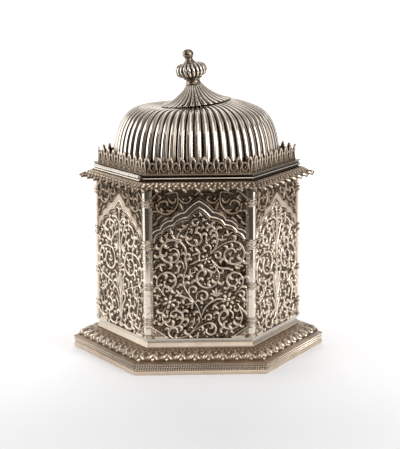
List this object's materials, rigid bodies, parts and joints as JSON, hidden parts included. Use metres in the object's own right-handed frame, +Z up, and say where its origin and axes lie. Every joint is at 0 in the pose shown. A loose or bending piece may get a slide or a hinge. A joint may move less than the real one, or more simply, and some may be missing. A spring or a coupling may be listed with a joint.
{
  "type": "hexagonal lidded box",
  "caption": "Hexagonal carved silver box with cusped arch panels, corner pilasters, moulded foot and a hinged lid with fluted dome and finial.",
  "frame": {"origin": "centre of the underside of the foot", "axes": "+Z up; the front panel faces -Y; two corners lie on the X axis"},
  "size_m": [0.1386, 0.12, 0.1647],
  "materials": {
    "carved_silver": "chased silver with dark brown patina in the recesses",
    "plain_silver": "warm aged silver, satin with fine scratches",
    "polished_silver": "polished silver with light tarnish in the flutes",
    "inside_silver": "plain hammered silver, dull"
  },
  "bodies": {
    "box": {"foot_rim": "plain_silver", "rope_band": "carved_silver", "plinth_step": "plain_silver", "acanthus_skirt": "carved_silver", "cavetto_band": "plain_silver", "base_plate": "inside_silver", "wall_panel_front": "carved_silver", "wall_panel_front_right": "carved_silver", "wall_panel_back_right": "carved_silver", "wall_panel_back": "carved_silver", "wall_panel_back_left": "carved_silver", "wall_panel_front_left": "carved_silver", "pilaster_right": "plain_silver", "pilaster_back_right": "plain_silver", "pilaster_back_left": "plain_silver", "pilaster_left": "plain_silver", "pilaster_front_left": "plain_silver", "pilaster_front_right": "plain_silver", "body_rim": "plain_silver", "mouth_bezel": "inside_silver", "eave_front": "carved_silver", "eave_front_right": "carved_silver", "eave_back_right": "carved_silver", "eave_back": "carved_silver", "eave_back_left": "carved_silver", "eave_front_left": "carved_silver", "hinge_leaf_body": "polished_silver", "hinge_pin": "polished_silver"},
    "lid": {"hinge_leaf_lid": "polished_silver", "lid_rim": "plain_silver", "lid_plate": "inside_silver", "cresting_front": "carved_silver", "cresting_front_right": "carved_silver", "cresting_back_right": "carved_silver", "cresting_back": "carved_silver", "cresting_back_left": "carved_silver", "cresting_front_left": "carved_silver", "dome": "polished_silver", "spire": "polished_silver", "finial_neck": "polished_silver", "finial_bulb": "polished_silver", "finial_knob": "polished_silver", "finial_rod": "inside_silver", "finial_washer": "inside_silver", "finial_nut": "inside_silver"}
  },
  "joints": [
    {"name": "lid_hinge", "type": "hinge", "parent": "box", "child": "lid", "pos_m": [-0.043, -0.02482, 0.1022], "axis": [0.5, -0.866, 0], "range_deg": [0, 105]}
  ]
}
